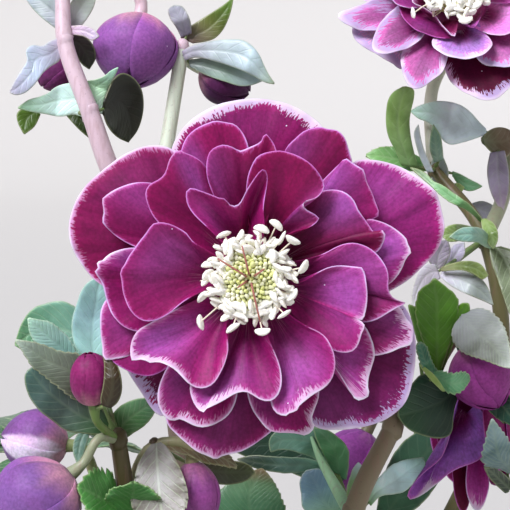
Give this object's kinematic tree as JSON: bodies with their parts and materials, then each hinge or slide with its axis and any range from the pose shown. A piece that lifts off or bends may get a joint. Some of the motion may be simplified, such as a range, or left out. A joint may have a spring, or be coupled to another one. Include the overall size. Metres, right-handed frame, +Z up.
{
  "type": "potted hellebore plant",
  "caption": "Hellebore plant with double plum-red blooms, nodding buds, toothed bracts and fingered leaves, growing in a plain clay pot.",
  "frame": {"origin": "middle of the pot's flat base, on the surface that the pot stands on", "axes": "+Z up along the pot's axis, and -Y towards the viewer, the way the open bloom faces; +X is to the viewer's right"},
  "size_m": [0.3434, 0.3475, 0.4373],
  "materials": {
    "clay": "dry unglazed terracotta with faint lime bloom",
    "soil": "crumbly dark potting soil",
    "petal": "satin plum-red petals with a fine white-lilac edge",
    "bud": "satin plum buds with pale streaks",
    "stamen": "cream anthers over a yellow-green middle",
    "style": "dusky pink styles",
    "stem": "smooth green-brown to pinkish stems",
    "bract": "toothed green and blue-green bracts with pale veins",
    "leaf": "leathery mid-green leaflets with pale midribs"
  },
  "bodies": {
    "root": {"pot": "clay", "soil": "soil", "open_bloom_petals": "petal", "open_bloom_stamens": "stamen", "open_bloom_styles": "style", "back_bloom_petals": "petal", "back_bloom_stamens": "stamen", "back_bloom_styles": "style", "nodding_bloom_petals": "petal", "upright_bud": "bud", "nodding_bud_left": "bud", "nodding_bud_far": "bud", "nodding_bud_low": "bud", "nodding_bud_right": "bud", "nodding_bud_behind": "bud", "nodding_bud_high": "bud", "small_bud_high": "bud", "hooded_bud_high": "bud", "front_stem": "stem", "left_stem": "stem", "back_stem": "stem", "right_stem": "stem", "leaf_1": "leaf", "leaf_2": "leaf", "leaf_3": "leaf", "leaf_4": "leaf", "leaf_5": "leaf", "leaf_6": "leaf", "leaf_7": "leaf", "leaf_8": "leaf"}
  },
  "joints": []
}
